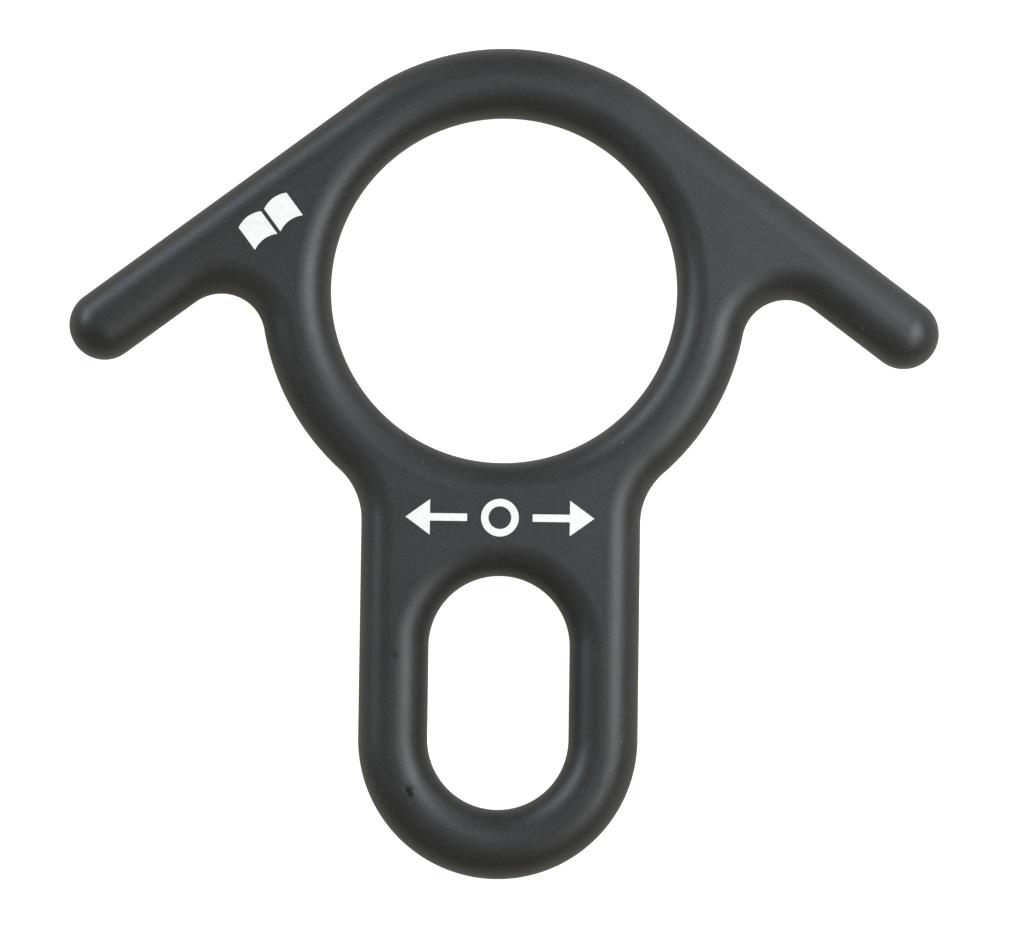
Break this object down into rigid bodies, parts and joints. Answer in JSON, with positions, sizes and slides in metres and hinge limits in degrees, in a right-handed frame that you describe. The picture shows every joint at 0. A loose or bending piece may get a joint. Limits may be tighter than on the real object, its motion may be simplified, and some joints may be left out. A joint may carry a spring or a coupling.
{
  "type": "rope descender",
  "caption": "Flat rescue figure-eight descender: round rope ring with two down-sloping ears, a stem with an oblong carabiner eye, and fully rounded edges.",
  "frame": {"origin": "middle of the plate's outline, on its flat back face", "axes": "+X from the left ear to the right ear seen from the front, +Y from the carabiner eye towards the rope ring, +Z out of the marked front face"},
  "size_m": [0.1576, 0.1508, 0.0127],
  "materials": {
    "anodised_aluminium": "black hard anodise over a fine bead-blasted surface, satin",
    "marking_ink": "white printed ink, matt"
  },
  "bodies": {
    "root": {"descender_plate": "anodised_aluminium", "web_mark_ring": "marking_ink", "web_mark_left_arrow": "marking_ink", "web_mark_right_arrow": "marking_ink", "ear_mark_left_page": "marking_ink", "ear_mark_right_page": "marking_ink"}
  },
  "joints": []
}
